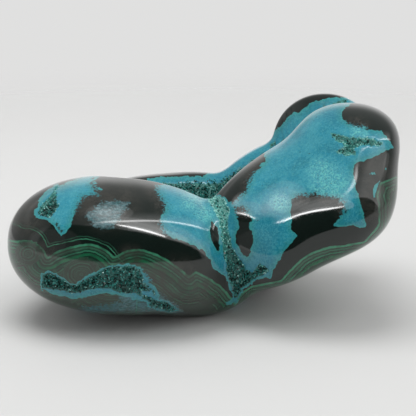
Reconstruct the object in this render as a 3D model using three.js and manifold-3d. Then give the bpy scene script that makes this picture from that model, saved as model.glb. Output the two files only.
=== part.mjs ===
// A polished chrysocolla freeform: one bent, hand-sized piece of stone.
// Two long lobes meet in a V at the front, a lower ridge runs behind them,
// and a hollow lies between the front lobes and that ridge.
// Units are millimetres, +Z is up, +X is the length and -Y is the front.
import * as THREE from "three";
import { mergeVertices } from "three/addons/utils/BufferGeometryUtils.js";
import Module from "manifold-3d";

const wasm = await Module();
wasm.setup();

// Lobes are rounded ellipsoids: centre, half axes, how many degrees the +X end
// is tipped up, and how square the ellipsoid is (2 is a plain ellipsoid).
const lobes = {
  leftLobe: { at: [-24, -6, 20.9], half: [30.3, 23, 18.4], tilt: -3.7, square: 2.23 },
  belly: { at: [-4, 1, 14], half: [21, 17.5, 15.5], tilt: 0, square: 2.1 },
  shoulder: { at: [-7.5, -5.5, 19], half: [15.3, 18, 14.3], tilt: -6, square: 2.1 },
  heel: { at: [-24, 13, 16.5], half: [24.9, 19, 16.1], tilt: -2.7, square: 2.1 },
  rightLobe: { at: [24.6, -3, 30.4], half: [29.3, 16.8, 17.4], tilt: 34.5, square: 2.3 },
  rightCap: { at: [39.4, -1.5, 49.4], half: [13.6, 14, 10], tilt: 0, square: 2.2 },
  rightToe: { at: [37.4, -3, 32.3], half: [13.1, 14.5, 11], tilt: 0, square: 2.2 },
  spine: { at: [20, 13, 24.8], half: [26, 18, 15], tilt: 34, square: 2.2 },
  backRim: { at: [-9, 24, 16], half: [29.2, 14, 17.8], tilt: 5.7, square: 2.2 },
  backFoot: { at: [11, 23, 14], half: [20, 14, 15], tilt: 0, square: 2.1 },
  backWall: { at: [18.6, 26, 27.5], half: [18, 12, 13], tilt: 35.3, square: 2.3 },
  backFill: { at: [22, 24.5, 23.8], half: [30, 13.5, 15], tilt: 34, square: 2.2 },
  backKnob: { at: [35.5, 25.5, 41.8], half: [15.5, 13, 15.9], tilt: 0, square: 2.1 },
};

// Lobes are joined in this order; `soft` is the width over which each one
// runs into what is already there.
const frontLeft = [
  { lobe: "leftLobe", soft: 0 },
  { lobe: "belly", soft: 6 },
  { lobe: "shoulder", soft: 4 },
  { lobe: "heel", soft: 6 },
];
const frontRight = [
  { lobe: "rightLobe", soft: 0 },
  { lobe: "rightCap", soft: 7 },
  { lobe: "rightToe", soft: 9 },
];
const backRidge = [
  { lobe: "backRim", soft: 0 },
  { lobe: "backFoot", soft: 8 },
  { lobe: "backWall", soft: 3 },
  { lobe: "backKnob", soft: 3 },
  { lobe: "backFill", soft: 4 },
  { lobe: "spine", soft: 8 },
];
const frontCrease = 4;
const backJoin = 8;

// The hollow between the front lobes and the back ridge: balls along its run.
const hollow = [
  { at: [-22, 9.5, 40.5], radius: 8.5 },
  { at: [2, 10, 36], radius: 9 },
  { at: [22, 12.5, 52], radius: 8 },
  { at: [44, 13, 65.5], radius: 7 },
];
const hollowSoft = 4;
const hollowEdge = 5;

// The right lobe leans back along lines that fan out from a far point in
// front: what is above its own axis is set back, and what is below comes
// forward. Sides and heights are those seen from the far point, counted as
// they are `far` millimetres away. The lean fades out to the left and towards
// the back ridge.
const setBack = {
  from: [0.84, -312.6, 113.5],
  far: 320,
  tip: 15, // degrees that the line of sight tips down
  amount: 0.5, // millimetres back for each millimetre of height
  axisAt: [23.6, 0.3], // how far right, and how high, the lobe's axis is
  axisRise: 0.664,
  above: 16, // heights past these are set back hardly any further
  below: 15,
  leftFade: [1.2, 19.2],
  rearFade: [9.3, 45.3],
};

// The inside line from which the surface is measured outwards, from the right
// end to the left, and how far the spokes round it lean back at each end.
const coreLine = new THREE.CatmullRomCurve3(
  [
    [42, 8.5, 40],
    [36, 11, 35],
    [28, 13.5, 29],
    [19, 12.5, 22],
    [8, 8, 16],
    [-6, 6, 13],
    [-20, 4, 14],
    [-32, 1, 17],
  ].map((point) => new THREE.Vector3(...point)),
);
const rightLean = 34;
const leanStarts = 0.15;
const leanEnds = 0.8;
const endRounding = 1.2;

const stations = 48;
const spokes = 64;
const longestReach = 70;
const reachStep = 1;
const halvings = 24;
const restDepth = 40;
const restSpread = 160;

const stoneColour = 0x1f7f93;
const stoneRoughness = 0.12;

// Signed distance to a lobe, roughly: the length from its centre times
// (1 - 1 / k), where k is 1 on the surface.
function lobeDistance(point, lobe) {
  const turn = THREE.MathUtils.degToRad(lobe.tilt);
  const x = point.x - lobe.at[0];
  const y = point.y - lobe.at[1];
  const z = point.z - lobe.at[2];
  const along = x * Math.cos(turn) + z * Math.sin(turn);
  const across = z * Math.cos(turn) - x * Math.sin(turn);
  const terms = [along / lobe.half[0], y / lobe.half[1], across / lobe.half[2]];
  const sum = terms.reduce((total, term) => total + Math.abs(term) ** lobe.square, 0);
  const k = Math.max(sum ** (1 / lobe.square), 1e-4);
  return Math.hypot(x, y, z) * (1 - 1 / k);
}

// The smaller of two distances, rounded where they are within `soft`.
function smoothUnion(a, b, soft) {
  const share = THREE.MathUtils.clamp(0.5 + (0.5 * (b - a)) / soft, 0, 1);
  return b + (a - b) * share - soft * share * (1 - share);
}

function joined(point, members) {
  return members.reduce((distance, member) => {
    const next = lobeDistance(point, lobes[member.lobe]);
    return member.soft ? smoothUnion(distance, next, member.soft) : next;
  }, 0);
}

// Distance to a row of balls joined by cones.
function hollowDistance(point) {
  let nearest = 0;
  hollow.slice(1).forEach((end, index) => {
    const start = hollow[index];
    const from = new THREE.Vector3(...start.at);
    const span = new THREE.Vector3(...end.at).sub(from);
    const offset = point.clone().sub(from);
    const share = THREE.MathUtils.clamp(offset.dot(span) / span.lengthSq(), 0, 1);
    const radius = start.radius + (end.radius - start.radius) * share;
    const distance = offset.addScaledVector(span, -share).length() - radius;
    nearest = index === 0 ? distance : smoothUnion(nearest, distance, hollowSoft);
  });
  return nearest;
}

// Negative inside the stone before its right lobe is leant back.
function uprightDistance(point) {
  const front = smoothUnion(joined(point, frontLeft), joined(point, frontRight), frontCrease);
  const whole = smoothUnion(front, joined(point, backRidge), backJoin);
  return -smoothUnion(-whole, hollowDistance(point), hollowEdge);
}

// Negative inside the stone, positive outside.
function stoneDistance(point) {
  const tip = THREE.MathUtils.degToRad(setBack.tip);
  const backward = new THREE.Vector3(0, Math.cos(tip), -Math.sin(tip));
  const sight = point.clone().sub(new THREE.Vector3(...setBack.from));
  const depth = sight.dot(backward);
  const side = (sight.x * setBack.far) / depth;
  const height = ((sight.y * Math.sin(tip) + sight.z * Math.cos(tip)) * setBack.far) / depth;
  const [axisSide, axisHeight] = setBack.axisAt;
  const rise = height - axisHeight - setBack.axisRise * (side - axisSide);
  const reach = rise > 0 ? setBack.above : setBack.below;
  const fromLeft = THREE.MathUtils.smoothstep(side, ...setBack.leftFade);
  const fromRear = 1 - THREE.MathUtils.smoothstep(depth - setBack.far, ...setBack.rearFade);
  const shift = setBack.amount * reach * Math.tanh(rise / reach) * fromLeft * fromRear;
  return uprightDistance(point.clone().addScaledVector(sight.normalize(), -shift));
}

// The first place along a ray where it leaves the stone.
function surfacePoint(origin, direction) {
  const at = (reach) => origin.clone().addScaledVector(direction, reach);
  let outside = reachStep;
  while (outside < longestReach && stoneDistance(at(outside)) < 0) {
    outside += reachStep;
  }
  let inside = outside - reachStep;
  for (let pass = 0; pass < halvings; pass += 1) {
    const middle = (inside + outside) / 2;
    if (stoneDistance(at(middle)) < 0) inside = middle;
    else outside = middle;
  }
  return at(outside);
}

// The axis that the spokes of a station turn about, and the one they start from.
function stationAxes(share) {
  const straightening = THREE.MathUtils.smoothstep(share, leanStarts, leanEnds);
  const lean = THREE.MathUtils.degToRad(rightLean) * (1 - straightening);
  return {
    along: new THREE.Vector3(Math.cos(lean), 0, Math.sin(lean)),
    up: new THREE.Vector3(-Math.sin(lean), 0, Math.cos(lean)),
  };
}

// Spokes leave the core line square to it along the body of the stone and
// swing round to point straight out at its two ends.
function stoneSurface() {
  const positions = [];
  const addPoint = (share, angle) => {
    const { along, up } = stationAxes(share);
    const side = 1 - 2 * share;
    const swing = (Math.PI / 2) * (1 - side * Math.abs(side) ** endRounding);
    const direction = along.multiplyScalar(Math.cos(swing));
    direction.y += Math.sin(swing) * Math.cos(angle);
    direction.addScaledVector(up, Math.sin(swing) * Math.sin(angle));
    positions.push(...surfacePoint(coreLine.getPoint(share), direction).toArray());
  };
  addPoint(0, 0);
  for (let station = 1; station < stations; station += 1) {
    for (let spoke = 0; spoke < spokes; spoke += 1) {
      addPoint(station / stations, (2 * Math.PI * spoke) / spokes);
    }
  }
  addPoint(1, 0);

  const faces = [];
  const corner = (station, spoke) => 1 + (station - 1) * spokes + (spoke % spokes);
  const rightPole = 0;
  const leftPole = positions.length / 3 - 1;
  for (let spoke = 0; spoke < spokes; spoke += 1) {
    faces.push(rightPole, corner(1, spoke), corner(1, spoke + 1));
    faces.push(leftPole, corner(stations - 1, spoke + 1), corner(stations - 1, spoke));
    for (let station = 1; station < stations - 1; station += 1) {
      const a = corner(station, spoke);
      const b = corner(station + 1, spoke);
      const c = corner(station + 1, spoke + 1);
      const d = corner(station, spoke + 1);
      faces.push(a, b, c);
      faces.push(a, c, d);
    }
  }
  const surface = new THREE.BufferGeometry();
  surface.setAttribute("position", new THREE.Float32BufferAttribute(positions, 3));
  surface.setIndex(faces);
  return surface;
}

function solidFrom(geometry) {
  const bare = geometry.clone();
  bare.deleteAttribute("normal");
  bare.deleteAttribute("uv");
  const merged = mergeVertices(bare);
  return new wasm.Manifold(
    new wasm.Mesh({
      numProp: 3,
      vertProperties: new Float32Array(merged.attributes.position.array),
      triVerts: new Uint32Array(merged.index.array),
    }),
  );
}

function geometryFrom(solid) {
  const mesh = solid.getMesh();
  const geometry = new THREE.BufferGeometry();
  geometry.setAttribute("position", new THREE.BufferAttribute(mesh.vertProperties, 3));
  geometry.setIndex(new THREE.BufferAttribute(mesh.triVerts, 1));
  geometry.computeVertexNormals();
  return geometry;
}

// The stone stands on a flat that is ground across its underside at z = 0,
// and the middle of its outline in plan is the origin.
function restingStone() {
  const below = new THREE.BoxGeometry(restSpread, restSpread, restDepth);
  below.translate(0, 0, -restDepth / 2);
  const geometry = geometryFrom(solidFrom(stoneSurface()).subtract(solidFrom(below)));
  geometry.computeBoundingBox();
  const middle = geometry.boundingBox.getCenter(new THREE.Vector3());
  geometry.translate(-middle.x, -middle.y, 0);
  return geometry;
}

const polishedStone = new THREE.MeshStandardMaterial({
  color: stoneColour,
  roughness: stoneRoughness,
  metalness: 0,
});

const stone = new THREE.Mesh(restingStone(), polishedStone);
stone.name = "chrysocolla_stone";

const group = new THREE.Group();
group.add(stone);

export default group;
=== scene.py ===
import math

import bpy
import numpy as np
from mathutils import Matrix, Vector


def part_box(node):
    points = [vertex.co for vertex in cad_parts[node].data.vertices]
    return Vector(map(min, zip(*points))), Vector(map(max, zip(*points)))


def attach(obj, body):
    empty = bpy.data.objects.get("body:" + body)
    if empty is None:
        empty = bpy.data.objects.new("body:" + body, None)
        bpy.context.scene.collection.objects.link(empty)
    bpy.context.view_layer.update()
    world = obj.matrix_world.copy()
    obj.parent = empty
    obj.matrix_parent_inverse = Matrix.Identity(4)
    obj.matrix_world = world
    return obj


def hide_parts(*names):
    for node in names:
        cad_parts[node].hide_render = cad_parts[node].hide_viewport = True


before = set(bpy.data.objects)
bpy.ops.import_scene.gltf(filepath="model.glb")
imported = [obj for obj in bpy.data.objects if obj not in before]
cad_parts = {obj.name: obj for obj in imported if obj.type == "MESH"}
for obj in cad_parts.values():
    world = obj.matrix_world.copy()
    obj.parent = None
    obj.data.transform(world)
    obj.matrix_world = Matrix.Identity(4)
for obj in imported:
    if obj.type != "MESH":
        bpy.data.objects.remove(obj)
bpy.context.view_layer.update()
stoneLow, stoneHigh = (np.array(corner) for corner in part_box("chrysocolla_stone"))
boxMiddle = (stoneLow + stoneHigh) / 2
millimetre = 0.001

# Where the stone is looked at and drawn from. The aim is counted in millimetres from the middle of the box.
frontView = {
    "elevation": 15.0,  # degrees above the table
    "aim": (1.43, -5.05, 0.55),
    "distance": 323.6,  # mm
    "lens": 100.0,
}

# The stone's body: rounded lobes that flow into each other, in mm from the middle of its foot.
# A lobe has its centre, half sizes, tilt (degrees that its +X end is raised) and squareness.
stoneBody = {
    "lobes": {
        "left": ((-24, -6, 20.9), (30.3, 23, 18.4), -3.7, 2.23),
        "belly": ((-4, 1, 14.0), (21, 17.5, 15.5), 0, 2.1),
        "shoulder": ((-7.5, -5.5, 19), (15.3, 18, 14.3), -6, 2.1),
        "heel": ((-24, 13, 16.5), (24.9, 19, 16.1), -2.7, 2.1),
        "slab": ((24.6, -3, 30.4), (29.3, 16.8, 17.4), 34.5, 2.3),
        "cap": ((39.4, -1.5, 49.4), (13.6, 14, 10), 0, 2.2),
        "toe": ((37.4, -3, 32.3), (13.1, 14.5, 11), 0, 2.2),
        "spine": ((20, 13, 24.8), (26, 18, 15), 34, 2.2),
        "rim": ((-9, 24, 16), (29.2, 14, 17.8), 5.7, 2.2),
        "foot": ((11, 23, 14), (20, 14, 15), 0, 2.1),
        "wall": ((18.6, 26, 27.5), (18, 12, 13), 35.3, 2.3),
        "back": ((22, 24.5, 23.8), (30, 13.5, 15), 34, 2.2),
        "knob": ((35.5, 25.5, 41.8), (15.5, 13, 15.9), 0, 2.1),
    },
    # each row is melted together with these widths, then the front and the back are melted together
    "leftJoins": (("left", 0), ("belly", 6), ("shoulder", 4), ("heel", 6)),
    "rightJoins": (("slab", 0), ("cap", 7), ("toe", 9)),
    "backJoins": (("rim", 0), ("foot", 8), ("wall", 3), ("knob", 3), ("back", 4), ("spine", 8)),
    "frontJoin": 4,
    "backJoin": 8,
    # the hollow between the front and back ridges: balls swept along a line, (centre, radius)
    "hollow": (((-22, 9.5, 40.5), 8.5), ((2, 10, 36), 9), ((22, 12.5, 52), 8), ((44, 13, 65.5), 7)),
    "hollowJoin": 4,
    "hollowEdge": 5,
    # the right lobe leans back along lines that fan out from a far point in front: what is above its
    # axis is set back
    "leanFrom": (0.84, -312.6, 113.5),
    "leanFar": 320.0,  # how far away the sizes below are counted
    "leanTip": 15.0,  # degrees
    "leanAmount": 0.5,  # mm back for each mm of height
    "leanAxis": (23.6, 0.3, 0.664),  # how far right, how high, and how fast the axis rises
    "leanReach": (16, 15),  # heights above and below past which it leans hardly any further
    "leanFadeLeft": (1.2, 19.2),
    "leanFadeRear": (9.3, 45.3),
}

# The grid of spokes that finds the surface: they leave a core line and swing round at the two ends.
stoneGrid = {
    "coreLine": ((42, 8.5, 40), (36, 11, 35), (28, 13.5, 29), (19, 12.5, 22),
                 (8, 8, 16), (-6, 6, 13), (-20, 4, 14), (-32, 1, 17)),
    "along": 300,
    "around": 310,
    "frontCrowding": 0.32,  # how much denser the spokes stand on the front
    "swingPower": 1.2,
    "longestSpoke": 60.0,
    "lean": 34.0,
    "leanStarts": 0.15,
    "leanEnds": 0.8,
}


def smoothStep(low, high, x):
    t = np.clip((x - low) / (high - low), 0, 1)
    return t * t * (3 - 2 * t)


def melt(a, b, width):
    # The lower of two distances, rounded over where they are closer than width.
    share = np.clip(0.5 + 0.5 * (b - a) / width, 0, 1)
    return b * (1 - share) + a * share - width * share * (1 - share)


def lobeDistance(points, centre, half, tilt, power):
    # Radial distance to a tilted superellipsoid: |q| (1 - 1/k), k = (sum |q/half|^power)^(1/power).
    q = points - np.array(centre, float)
    slope = math.radians(tilt)
    along = q[:, 0] * math.cos(slope) + q[:, 2] * math.sin(slope)
    across = q[:, 2] * math.cos(slope) - q[:, 0] * math.sin(slope)
    k = (np.abs(along / half[0]) ** power + np.abs(q[:, 1] / half[1]) ** power
         + np.abs(across / half[2]) ** power) ** (1 / power)
    return np.linalg.norm(q, axis=1) * (1 - 1 / np.maximum(k, 1e-4))


def sweptBalls(points, balls, join):
    # Distance to balls swept in straight runs: distance to the nearest point of a run less the radius there.
    distance = None
    for (start, startRadius), (end, endRadius) in zip(balls[:-1], balls[1:]):
        run = np.array(end, float) - np.array(start, float)
        share = np.clip((points - np.array(start, float)) @ run / (run @ run), 0, 1)
        nearest = np.array(start, float) + share[:, None] * run
        radius = startRadius + share * (endRadius - startRadius)
        one = np.linalg.norm(points - nearest, axis=1) - radius
        distance = one if distance is None else melt(distance, one, join)
    return distance


def joinedLobes(points, joins):
    distance = None
    for name, width in joins:
        one = lobeDistance(points, *stoneBody["lobes"][name])
        distance = one if distance is None else melt(distance, one, width)
    return distance


def stoodUp(points):
    # Undoes the lean: the push is amount * reach * tanh(rise / reach), faded out to the left and the rear.
    # Heights and sides are those seen from the far point, so the push runs along its lines of sight.
    tip = math.radians(stoneBody["leanTip"])
    backward = np.array([0, math.cos(tip), -math.sin(tip)])
    sight = points - np.array(stoneBody["leanFrom"])
    depth = sight @ backward
    side = sight[:, 0] * stoneBody["leanFar"] / depth
    height = (sight[:, 1] * math.sin(tip) + sight[:, 2] * math.cos(tip)) * stoneBody["leanFar"] / depth
    axisSide, axisHeight, axisRise = stoneBody["leanAxis"]
    rise = height - axisHeight - axisRise * (side - axisSide)
    reach = np.where(rise > 0, *stoneBody["leanReach"])
    push = stoneBody["leanAmount"] * reach * np.tanh(rise / reach)
    push = push * smoothStep(*stoneBody["leanFadeLeft"], side)
    push = push * (1 - smoothStep(*stoneBody["leanFadeRear"], depth - stoneBody["leanFar"]))
    return points - push[:, None] * sight / np.linalg.norm(sight, axis=1, keepdims=True)


def stoneDistance(points):
    # Front lobes melted with the back ones, less the hollow, leant back, and cut flat at the foot.
    upright = stoodUp(points)
    left = joinedLobes(upright, stoneBody["leftJoins"])
    right = joinedLobes(upright, stoneBody["rightJoins"])
    front = melt(left, right, stoneBody["frontJoin"])
    whole = melt(front, joinedLobes(upright, stoneBody["backJoins"]), stoneBody["backJoin"])
    hollow = sweptBalls(upright, stoneBody["hollow"], stoneBody["hollowJoin"])
    carved = -melt(-whole, hollow, stoneBody["hollowEdge"])
    return np.maximum(carved, -points[:, 2])


def coreSpokes():
    # Spokes start on a Catmull-Rom line and point A cos(a) + sin(a) (Y cos(v) + Z sin(v)), leaning with
    # the slab.
    line = np.array(stoneGrid["coreLine"], float)
    share = np.linspace(0, 1, stoneGrid["along"])
    place = share * (len(line) - 1)
    span = np.minimum(place.astype(int), len(line) - 2)
    t = (place - span)[:, None]
    p0, p1 = line[np.maximum(span - 1, 0)], line[span]
    p2, p3 = line[span + 1], line[np.minimum(span + 2, len(line) - 1)]
    starts = 0.5 * (2 * p1 + (p2 - p0) * t + (2 * p0 - 5 * p1 + 4 * p2 - p3) * t ** 2
                    + (3 * p1 - p0 - 3 * p2 + p3) * t ** 3)
    side = 1 - 2 * share
    swing = math.pi / 2 * (1 - side * np.abs(side) ** stoneGrid["swingPower"])
    upright = smoothStep(stoneGrid["leanStarts"], stoneGrid["leanEnds"], share)
    lean = math.radians(stoneGrid["lean"]) * (1 - upright)
    turn = 2 * math.pi * np.arange(stoneGrid["around"]) / stoneGrid["around"]
    turn = turn + stoneGrid["frontCrowding"] * np.sin(turn)
    along = np.stack([np.cos(lean), 0 * lean, np.sin(lean)], -1)[:, None, :]
    upward = np.stack([-np.sin(lean), 0 * lean, np.cos(lean)], -1)[:, None, :]
    around = np.array([0, 1.0, 0]) * np.cos(turn)[None, :, None] + upward * np.sin(turn)[None, :, None]
    spokes = along * np.cos(swing)[:, None, None] + np.sin(swing)[:, None, None] * around
    origins = np.broadcast_to(starts[:, None, :], spokes.shape)
    return origins.reshape(-1, 3), spokes.reshape(-1, 3)


def surfaceAlong(origins, spokes):
    # Every spoke leaves the stone once, so the way out is found by halving.
    inner = np.zeros(len(origins))
    outer = np.full(len(origins), stoneGrid["longestSpoke"])
    for halving in range(20):
        middle = (inner + outer) / 2
        within = stoneDistance(origins + spokes * middle[:, None]) < 0
        inner = np.where(within, middle, inner)
        outer = np.where(within, outer, middle)
    return origins + spokes * outer[:, None]


def surfaceNormals(points):
    tiny = 0.05
    slopes = [stoneDistance(points + tiny * axis) - stoneDistance(points - tiny * axis) for axis in np.eye(3)]
    normals = np.stack(slopes, -1)
    return normals / np.linalg.norm(normals, axis=1, keepdims=True)


def closedGridFaces(rows, columns):
    # Quads between neighbouring rings, wrapped round, and a fan of triangles at each pole.
    # The first and last rings are single points: vertex 0 and the last vertex.
    ring = np.arange((rows - 2) * columns).reshape(rows - 2, columns) + 1
    nextOver = np.roll(ring, -1, axis=1)
    quads = np.stack([ring[:-1], ring[1:], nextOver[1:], nextOver[:-1]], -1).reshape(-1, 4)
    first = np.stack([np.zeros(columns, int), ring[0], nextOver[0]], -1)
    last = np.stack([np.full(columns, (rows - 2) * columns + 1), nextOver[-1], ring[-1]], -1)
    return quads, np.concatenate([first, last])


def buildMesh(name, points, quads, triangles, smooth):
    # Points in mm go into a mesh in metres.
    mesh = bpy.data.meshes.new(name)
    loops = np.concatenate([quads.ravel(), triangles.ravel()]).astype(np.int32)
    sizes = np.concatenate([np.full(len(quads), 4), np.full(len(triangles), 3)]).astype(np.int32)
    mesh.vertices.add(len(points))
    mesh.vertices.foreach_set("co", (points * millimetre).astype(np.float32).ravel())
    mesh.loops.add(len(loops))
    mesh.loops.foreach_set("vertex_index", loops)
    mesh.polygons.add(len(sizes))
    mesh.polygons.foreach_set("loop_start", (np.cumsum(sizes) - sizes).astype(np.int32))
    mesh.polygons.foreach_set("use_smooth", np.full(len(sizes), smooth))
    mesh.update(calc_edges=True)
    mesh.validate()
    piece = bpy.data.objects.new(name, mesh)
    bpy.context.scene.collection.objects.link(piece)
    return piece


def storeOnPoints(piece, values):
    for name, numbers in values.items():
        layer = piece.data.attributes.new(name, "FLOAT", "POINT")
        layer.data.foreach_set("value", np.asarray(numbers, np.float32))


def ripple(points, wavelength, seed, octaves=3):
    # Smooth noise from -1 to 1: waves in seeded directions, each octave half as long and 0.55 as strong.
    draw = np.random.default_rng(seed)
    total, weight = 0, 0
    for octave in range(octaves):
        waves = draw.normal(size=(3, 14))
        waves *= 2 * math.pi / (wavelength * 0.5 ** octave) / np.linalg.norm(waves, axis=0)
        waves *= draw.uniform(0.6, 1.4, 14)
        strength = 0.55 ** octave
        total = total + strength * np.sin(points @ waves + draw.uniform(0, 2 * math.pi, 14)).sum(1) / 3.7
        weight += strength
    return np.clip(total / weight, -1, 1)


# What is drawn on the front, in mm to the right of and above the aim, as seen from the front view. A third
# number after a corner bends the run that leaves it into an arc, by that many mm to the left.
frontDrawing = {
    "blue": {
        "leftPatch": [
            (-41, 6.5), (-33.5, 9.5), (-32, 9), (-33, 7), (-31.5, 5), (-33, 3.5), (-35.5, 3),
            (-38.5, -4.5), (-39.5, -6.5), (-41, -8), (-44, -4), (-49, -2), (-46.5, 3.5, 0.5),
        ],
        "leftOfCleft": [
            (-15, 6), (-12.5, 2), (-11.5, 0), (-13, -2), (-13.5, -4), (-12.5, -6.5), (-10, -8.5),
            (-3.5, -10.5), (-1, -12), (2, -17.5), (5, -19.5), (7, -25), (4.5, -27.5), (8, -26.5),
            (8.5, -19), (5, -10.5), (2, 0.5), (-0.5, 3.5), (-3.5, 4), (-10.5, 7.5),
        ],
        "rightLobe": [
            (-0.5, 3.5), (7, 1.5), (10.5, 4.5), (12.5, 9.5), (16, 13), (15.5, 17.5), (31.5, 28.5),
            (38, 30.5), (41, 30), (37.5, 27.5), (37.5, 25.5), (39.5, 23.5), (48.5, 21.5), (52, 17),
            (48.5, 15.5), (46, 14), (41.5, 12.5), (40.5, 11), (41, 8), (44.5, -5.5), (35, -5),
            (38.5, -1), (38, 1.5), (36.5, 3), (30, 4), (24.5, 3.5), (23.5, 2), (23, -2), (23.5, -6),
            (25, -7.5), (21, -12.5), (17.5, -19.5), (13.5, -20), (10, -22.5), (7.5, -27), (5.5, -15),
            (3.5, -5),
        ],
        "belowVug": [
            (-46.5, -21), (-35, -22), (-18.5, -21), (-19, -16.5), (-17, -18.5), (-15, -22.5),
            (-13.5, -24.5), (-15, -26.5), (-19, -26), (-27, -24), (-30, -24), (-38, -25.5), (-45, -23.5),
        ],
        "rightSliver": [(48.5, 8), (46.3, 6), (46.5, 3), (47.2, 5.5)],
    },
    "blueStreaks": {  # chains of (right, up, half width)
        "fineLine": [(-31, 9, 0.3), (-32, 7.5, 0.3), (-31, 5.5, 0.3), (-29.5, 5, 0.2)],
        "secondLine": [(-30.5, 3.5, 0.2), (-33, 5, 0.3)],
        "tealMarks": [(45.5, 9.5, 0.15), (48.5, 10.5, 0.25), (50, 11, 0.2)],
    },
    "flecked": {
        "middlePatch": [
            (-34.5, -2), (-30, 1.5), (-26.5, 2), (-22, 1.5), (-24.5, -2.5), (-26, -5), (-28.5, -6),
            (-31.5, -5.5), (-33.5, -3.5),
        ],
        "underVug": [
            (-25.5, -24), (-16, -22.5), (-9, -27), (-6.5, -29.5), (-22, -29), (-35, -29.5), (-36, -28),
            (-24, -26.5),
        ],
    },
    "dark": {
        "lensLeftOfCleft": [(1, -3.5, 1.5), (2.8, -11.8, 1.1)],
        "lensRightOfCleft": [
            (8.5, 1), (7.5, -0.5), (8.8, -5.5), (7.8, -8, -0.9), (11, -14, -0.4), (12.7, -8.5),
            (11.5, -5.5), (12.5, -3.5), (10, 0),
        ],
    },
    # right, up and radius of round places where blue and dark mix in specks, and where the blue is milky
    "softEdges": [
        (-34.5, 2.5, 5.5), (-13.5, 3, 4.5), (-12.5, -5.5, 3), (13, 7, 4.5), (26.5, 3.5, 3.5),
        (33, 3.5, 4.5), (38, 0.5, 3.5), (42, 23.5, 3.5), (9.5, 0.5, 4), (-17, -20, 2.5),
    ],
    # round places where the dark stone is dusky brown-grey: partly its own tone, partly painted sheen, the
    # pale tent and table as the polish would mirror them on the top edges, the two ends and the low front
    "duskyAndSheen": [
        (-28, 3, 10), (49, 3, 9), (47, 12, 5), (-52, -2, 7), (-15, 8, 6), (14, 14, 7), (-8, -21, 8),
        (-14, -20, 6), (0, -24, 5), (-22, -14, 4), (-46, -13, 4),
    ],
    # round places where the blue is deeper: partly its own deep tone, partly painted shade on the low blue
    # that faces down, away from the lamp above
    "deep": [
        (12, -15, 9), (17, -6, 6), (40, -2.5, 5.5), (-31, -23.5, 9), (-42, -23, 7), (-18, -22, 7),
        (1, -17, 6), (35.5, 28, 6), (9, -2, 5),
    ],
    "milky": [(34, 7, 6), (31.5, 10.5, 4), (-4.5, 2, 3.5), (-1, -1.5, 3), (20, 1.5, 3), (42, 20.5, 3)],
    # the back ridge as it shows over the front
    "behindBlue": {
        "rim": [
            (-17, 8.5), (-1, 9), (0.5, 10.5), (3.5, 12), (7, 16.5), (11, 19.5), (15.5, 20.5), (17, 13),
            (12, 5), (12, -0.5), (-13.5, -0.5),
        ],
        "knob": [
            (24.5, 27.5), (29.5, 30), (36, 31), (43, 31), (43, 25), (17, 12), (12.5, 16.5), (21, 23.5),
            (23, 26),
        ],
    },
}

# Crystal-lined places on the front, with their tone at the top and at the bottom. Tone runs from
# black-green at 0 to pale teal at 1.
frontDruse = {
    "areas": {
        "vug": (0.4, 0.28, [
            (-46.5, -18.5), (-44.5, -18), (-42.5, -19), (-38.5, -21.5), (-37, -21.5), (-28, -16.5),
            (-22, -16), (-19, -17), (-18, -20), (-18.5, -21), (-16, -23), (-22, -24), (-24.5, -24),
            (-27.5, -22.5), (-31, -22.5), (-38, -24), (-41.5, -23), (-46.5, -22.5),
        ]),
        "cleft": (0.88, 0.28, [
            (-0.5, 3.5), (1.5, 4), (4.5, 2.5), (6, 0), (5.5, -6), (7, -11.5), (10.5, -17), (12, -18),
            (13, -17.5), (13.5, -16.5), (14.5, -15.5), (16.5, -17), (17, -18), (13.5, -19.5),
            (9.5, -22.5), (8.5, -25), (7.5, -25), (5.5, -19), (3, -3.5), (2, -1), (0.5, 1.5),
        ]),
        "triangle": (0.4, 0.35, [(-43, 5), (-46.5, 1), (-48, -1.5), (-44, -3), (-42, 0.5), (-42.5, 2.5)]),
        "bands": (0.6, 0.6, [
            (33.5, 21.5), (39, 20), (46, 19.5), (49, 18.5), (49, 17.5), (43, 17.5), (41, 16.5),
            (41.5, 15), (38.5, 14.5), (35, 16), (38, 16.8), (38.5, 17.6), (36.5, 18.5),
        ]),
        "underVug": (0.3, 0.3, [(-16, -25.5), (-11.5, -26.5), (-8.5, -28.5), (-11, -29), (-16.5, -27.5)]),
        "behindRim": (0.5, 0.4, [
            (-13.5, 7), (1.5, 7), (4, 7.5), (15.5, 15.5), (17, 12), (7, 2), (1, 0), (-13.5, 0),
        ]),
    },
    "streaks": {
        "vugTail": (0.3, [(-21.5, -22.5, 0.7), (-18.5, -24.5, 0.45), (-16, -26, 0.8)]),
        "vugTailRight": (0.3, [(-18, -21, 0.35), (-15.5, -23, 0.3), (-14.5, -25, 0.35)]),
        "leftStreak": (0.55, [(-42.5, 6, 0.35), (-43, 3.5, 0.45), (-43, 1, 0.3)]),
        "leftLine": (0.15, [(-43.5, -2.5, 0.25), (-42.5, -4.5, 0.3), (-41, -6.5, 0.35)]),
        "behindKnob": (0.45, [(26.5, 26, 0.2), (32, 28.5, 0.5), (38.5, 30, 0.5)]),
        "behindKnobLow": (0.45, [(17.5, 17.5, 0.6), (27, 22, 0.6)]),
    },
}

# The line where malachite stopped growing outward, right and up in the front view: scallops that meet in
# points, closed far below the stone. Its bright shells follow this line, and a thinner one runs over it on
# the left.
growthFront = [
    (-70, -6), (-53.5, -9.5, 2), (-45, -14, 0.6), (-34.5, -10.3, 1.1), (-26.5, -14, 1.5), (-15.5, -12.8, 0.6),
    (-5.3, -19.6), (-3.5, -18, 1.3), (7.8, -27.5, 0.9), (12.5, -22), (20.5, -20.5), (26, -14.5, 0.9),
    (38.5, -10.5), (44, -9.5), (48, -5), (48, 1), (47.5, 3.5), (48.5, 7), (52.5, 8.5), (70, 8), (70, -90),
    (-70, -90),
]
upperFront = [
    (-70, -3), (-54, -4.5), (-52, -5.5, 1.7), (-45, -11), (-36, -8.7, 0.5), (-28, -10.7), (-24.5, -14.2),
    (-20, -20), (-20, -90), (-70, -90),
]
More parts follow.
